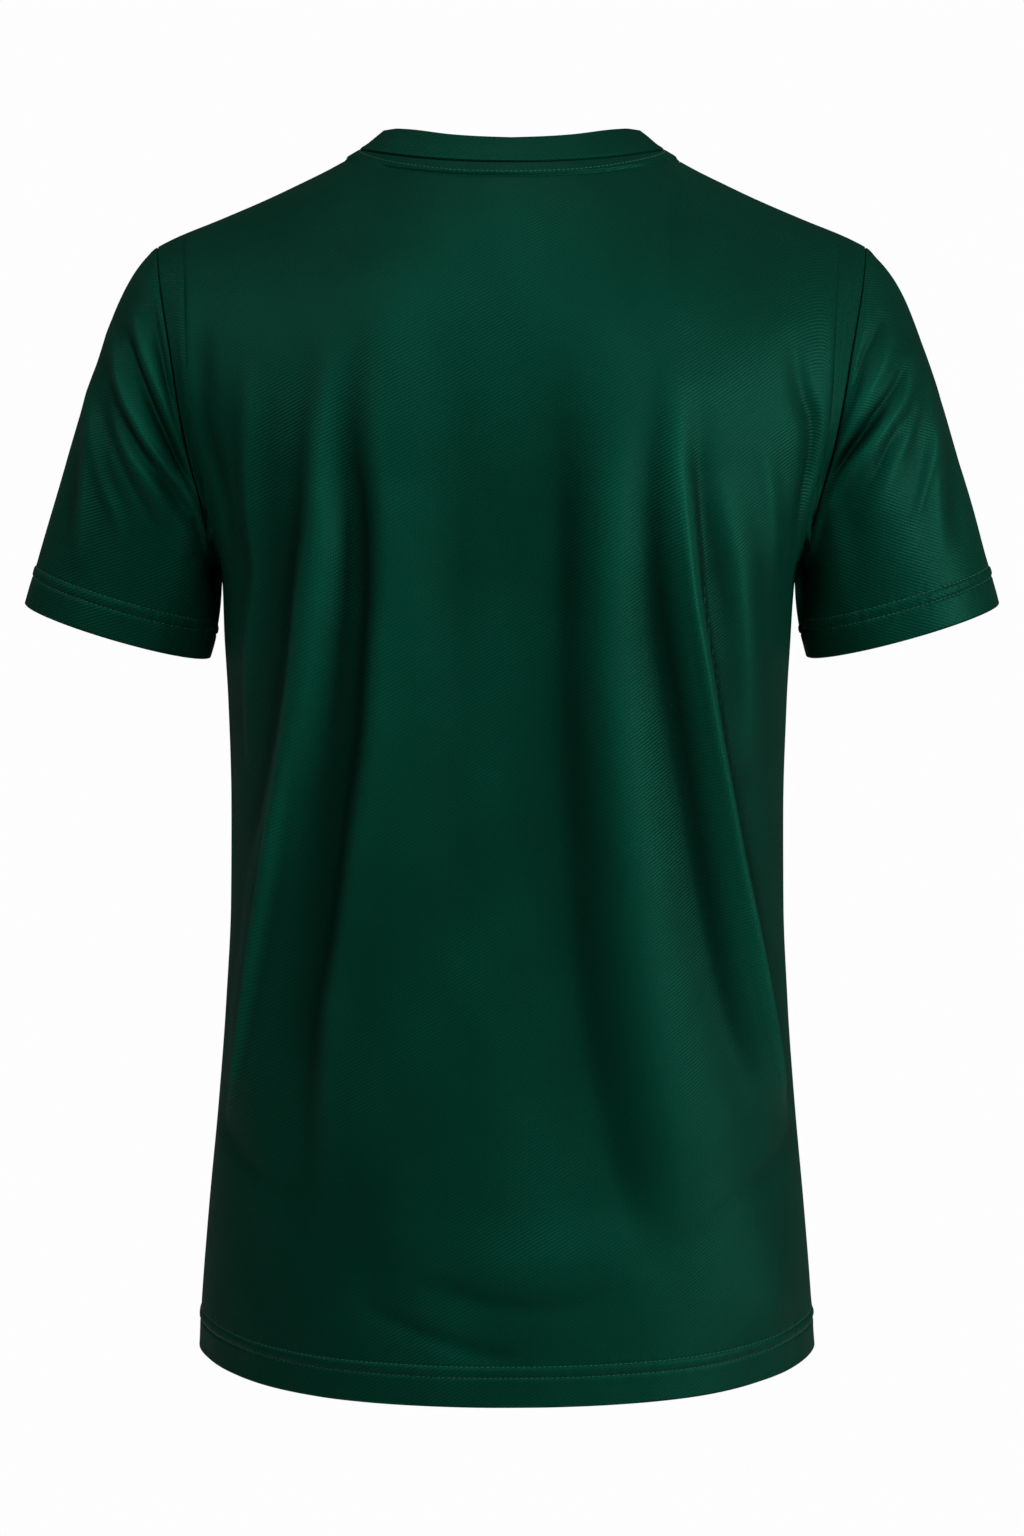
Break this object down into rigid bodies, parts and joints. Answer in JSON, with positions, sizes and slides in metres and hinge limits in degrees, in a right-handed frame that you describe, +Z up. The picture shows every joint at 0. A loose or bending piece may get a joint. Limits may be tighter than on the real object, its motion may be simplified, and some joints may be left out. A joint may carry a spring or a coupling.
{
  "type": "t-shirt",
  "caption": "Short-sleeved crew-neck sports T-shirt in dark green knit, kept in the open, filled-out form it has when worn.",
  "frame": {"origin": "midway between the two high shoulder points, where the neck seam crosses the shoulder seams: the wearer's shoulders hold the shirt up there", "axes": "+Z up, +Y out of the garment's back, -Y out of its front, +X to the wearer's left"},
  "size_m": [0.5592, 0.2587, 0.7099],
  "materials": {
    "knit": "dark green polyester interlock knit, soft low sheen"
  },
  "bodies": {
    "root": {"back": "knit", "front": "knit", "sleeve_left": "knit", "sleeve_right": "knit", "neckband": "knit"}
  },
  "joints": []
}
